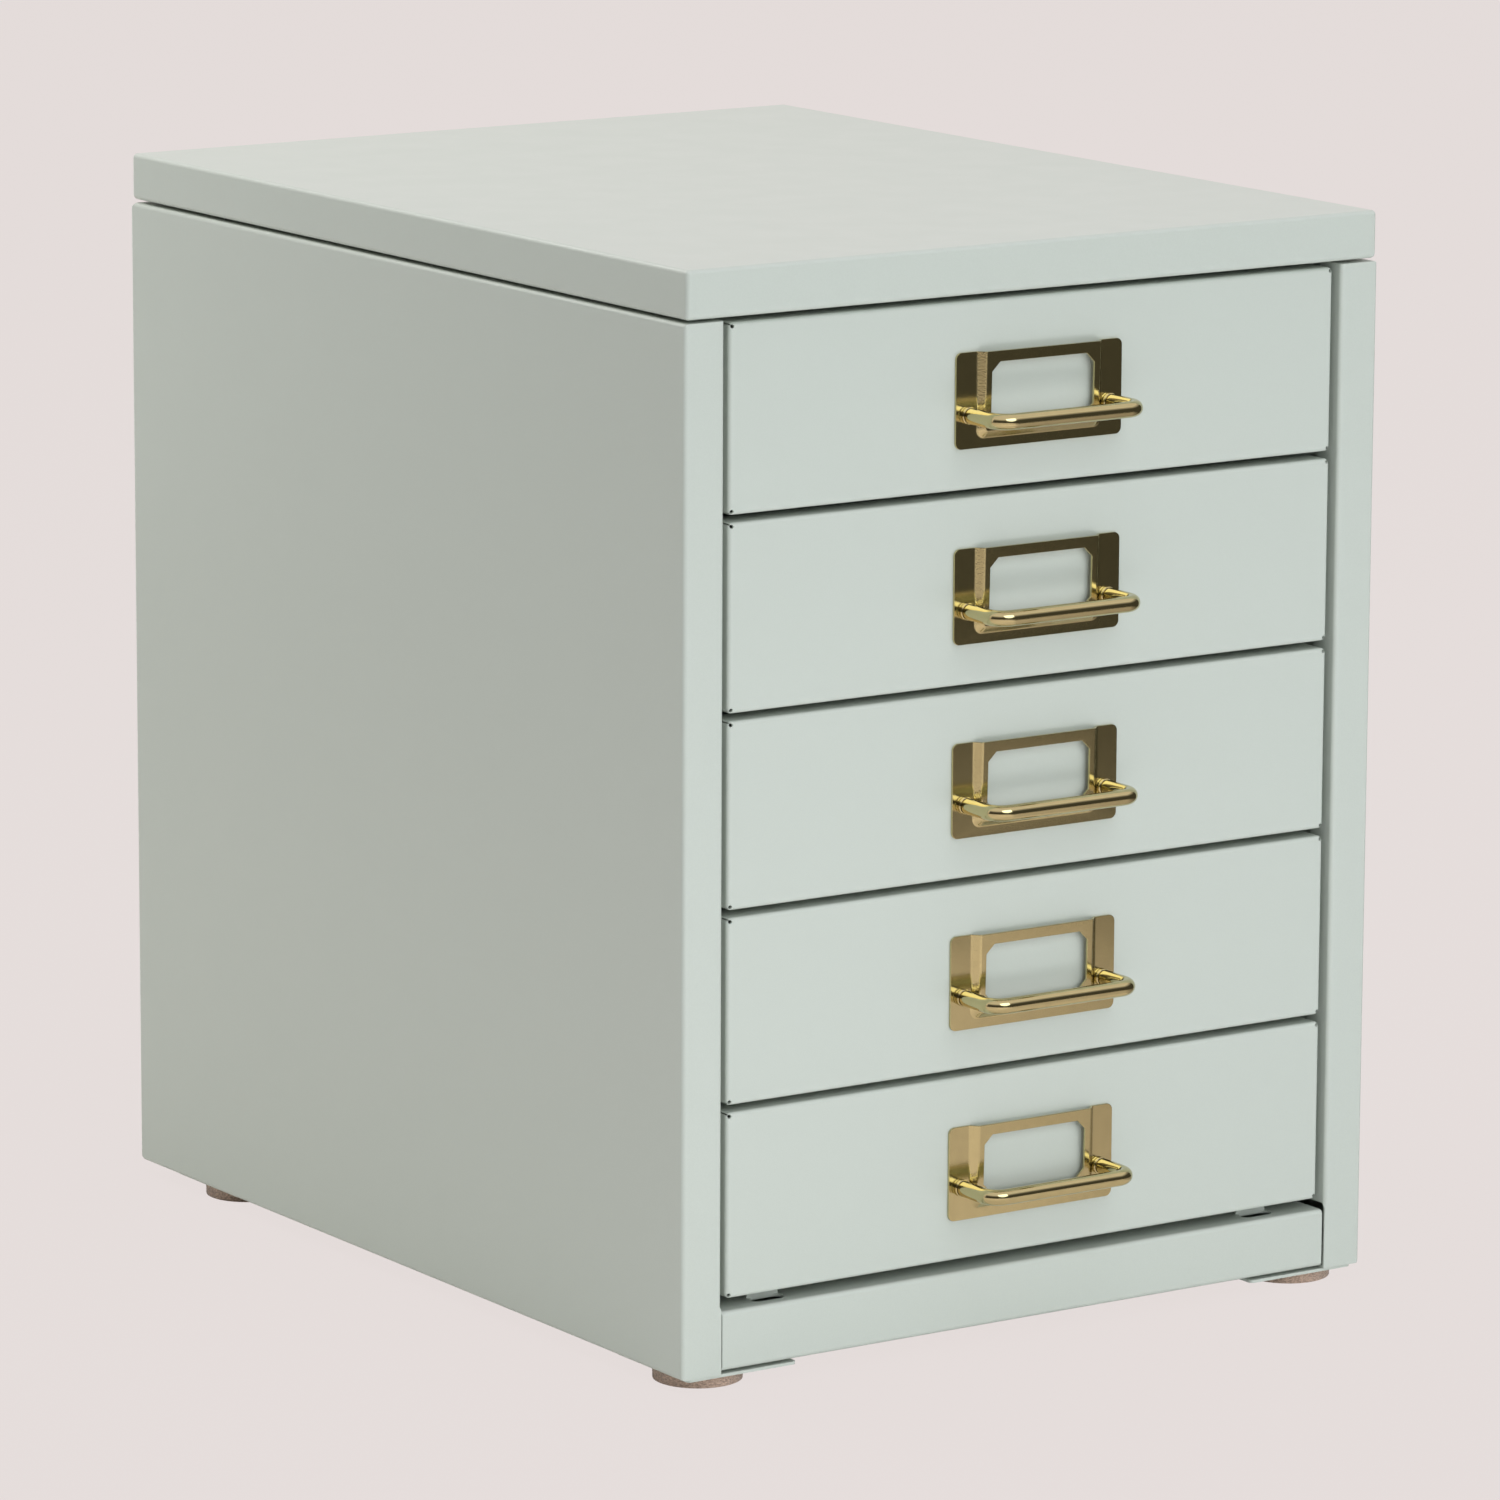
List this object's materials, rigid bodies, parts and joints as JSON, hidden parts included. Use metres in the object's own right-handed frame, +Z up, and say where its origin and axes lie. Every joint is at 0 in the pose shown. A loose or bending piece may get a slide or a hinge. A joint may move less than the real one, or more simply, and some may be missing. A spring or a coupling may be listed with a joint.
{
  "type": "drawer cabinet",
  "caption": "Desktop drawer cabinet in folded sheet steel with a separate lid, felt pads and shallow sliding drawers that have brass label-frame pulls.",
  "frame": {"origin": "centre of the footprint, pulls included, at the underside of the felt pads", "axes": "+X to the right of someone facing the drawers, +Y from the drawer fronts to the back, +Z up"},
  "size_m": [0.28, 0.3762, 0.3708],
  "materials": {
    "cabinet_paint": "satin powder coat, pale sage green",
    "drawer_paint": "satin powder coat, pale sage green",
    "brass": "polished",
    "zinc": "zinc plated",
    "nylon": "matte",
    "felt": "pressed wool felt"
  },
  "bodies": {
    "cabinet": {"left_side_panel": "cabinet_paint", "right_side_panel": "cabinet_paint", "back_panel": "cabinet_paint", "bottom_pan": "cabinet_paint", "front_plinth": "cabinet_paint", "top_front_rail": "cabinet_paint", "left_liner": "cabinet_paint", "right_liner": "cabinet_paint", "lid": "cabinet_paint", "lid_washers": "nylon", "lid_screws": "zinc", "lid_nuts": "zinc", "front_left_foot_plate": "cabinet_paint", "front_right_foot_plate": "cabinet_paint", "rear_left_foot_plate": "cabinet_paint", "rear_right_foot_plate": "cabinet_paint", "front_left_felt_pad": "felt", "front_right_felt_pad": "felt", "rear_left_felt_pad": "felt", "rear_right_felt_pad": "felt", "left_runner_1": "zinc", "left_runner_2": "zinc", "left_runner_3": "zinc", "left_runner_4": "zinc", "left_runner_5": "zinc", "right_runner_1": "zinc", "right_runner_2": "zinc", "right_runner_3": "zinc", "right_runner_4": "zinc", "right_runner_5": "zinc"},
    "drawer_1": {"drawer_1_front": "drawer_paint", "drawer_1_tray": "drawer_paint", "drawer_1_label_plate": "brass", "drawer_1_pull_bar": "brass", "drawer_1_pull_nuts": "zinc"},
    "drawer_2": {"drawer_2_front": "drawer_paint", "drawer_2_tray": "drawer_paint", "drawer_2_label_plate": "brass", "drawer_2_pull_bar": "brass", "drawer_2_pull_nuts": "zinc"},
    "drawer_3": {"drawer_3_front": "drawer_paint", "drawer_3_tray": "drawer_paint", "drawer_3_label_plate": "brass", "drawer_3_pull_bar": "brass", "drawer_3_pull_nuts": "zinc"},
    "drawer_4": {"drawer_4_front": "drawer_paint", "drawer_4_tray": "drawer_paint", "drawer_4_label_plate": "brass", "drawer_4_pull_bar": "brass", "drawer_4_pull_nuts": "zinc"},
    "drawer_5": {"drawer_5_front": "drawer_paint", "drawer_5_tray": "drawer_paint", "drawer_5_label_plate": "brass", "drawer_5_pull_bar": "brass", "drawer_5_pull_nuts": "zinc"}
  },
  "joints": [
    {"name": "drawer_1_slide", "type": "slide", "parent": "cabinet", "child": "drawer_1", "axis": [0, -1, 0], "range_m": [0, 0.268]},
    {"name": "drawer_2_slide", "type": "slide", "parent": "cabinet", "child": "drawer_2", "axis": [0, -1, 0], "range_m": [0, 0.268]},
    {"name": "drawer_3_slide", "type": "slide", "parent": "cabinet", "child": "drawer_3", "axis": [0, -1, 0], "range_m": [0, 0.268]},
    {"name": "drawer_4_slide", "type": "slide", "parent": "cabinet", "child": "drawer_4", "axis": [0, -1, 0], "range_m": [0, 0.268]},
    {"name": "drawer_5_slide", "type": "slide", "parent": "cabinet", "child": "drawer_5", "axis": [0, -1, 0], "range_m": [0, 0.268]}
  ]
}
